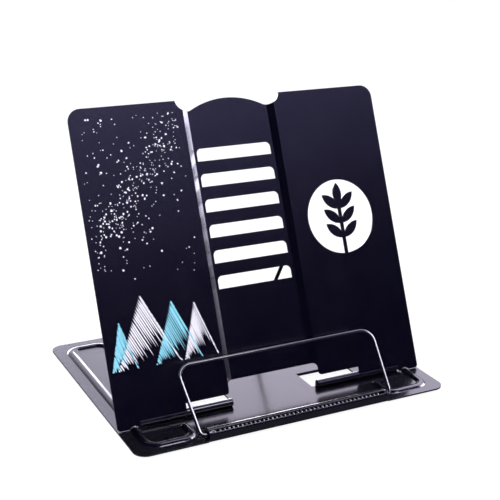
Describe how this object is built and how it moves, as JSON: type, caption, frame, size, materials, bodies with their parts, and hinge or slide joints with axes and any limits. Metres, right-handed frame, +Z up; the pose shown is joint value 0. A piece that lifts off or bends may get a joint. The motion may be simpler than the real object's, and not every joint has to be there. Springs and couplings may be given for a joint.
{
  "type": "folding book stand",
  "caption": "Sheet-steel book stand: base plate with pressed beads, hinged back plate with prop slots and a leaf cut-out, sprung wire page bail in a rolled hem, folding wire prop.",
  "frame": {"origin": "middle of the base plate's footprint, at the level of the feet's undersides", "axes": "+X to the reader's right, +Y to the rear, away from the reader, +Z up"},
  "size_m": [0.21, 0.17, 0.1797],
  "materials": {
    "enamel": "gloss black enamel with a faint violet cast",
    "wire": "gloss black coating on round wire",
    "spring": "darkened spring steel",
    "pin": "plain steel wire",
    "foot": "matt black rubber",
    "print_pale": "pale lavender printing ink",
    "print_blue": "light blue printing ink"
  },
  "bodies": {
    "base": {"base_plate": "enamel", "bail_spring": "spring", "hinge_pin_left": "pin", "hinge_pin_right": "pin", "foot_front_left": "foot", "foot_front_right": "foot", "foot_rear_left": "foot", "foot_rear_right": "foot"},
    "back": {"back_plate": "enamel"},
    "bail": {"page_bail": "wire"},
    "prop": {"prop_wire": "wire"}
  },
  "joints": [
    {"name": "back_plate_fold", "type": "hinge", "parent": "base", "child": "back", "pos_m": [0, -0.0501, 0.00505], "axis": [-1, 0, 0], "range_deg": [-3, 61]},
    {"name": "prop_fold", "type": "hinge", "parent": "base", "child": "prop", "pos_m": [0, 0.0339, 0.00465], "axis": [-1, 0, 0], "range_deg": [-6, 114]},
    {"name": "bail_swing", "type": "hinge", "parent": "base", "child": "bail", "pos_m": [0, -0.0814, 0.0051], "axis": [1, 0, 0], "range_deg": [-10, 120], "stiffness_Nm_per_rad": 0.05, "springref_deg": 1.6}
  ],
  "couplings": [
    {"joint": "prop_fold", "follows": "back_plate_fold", "ratio": 1.85}
  ]
}
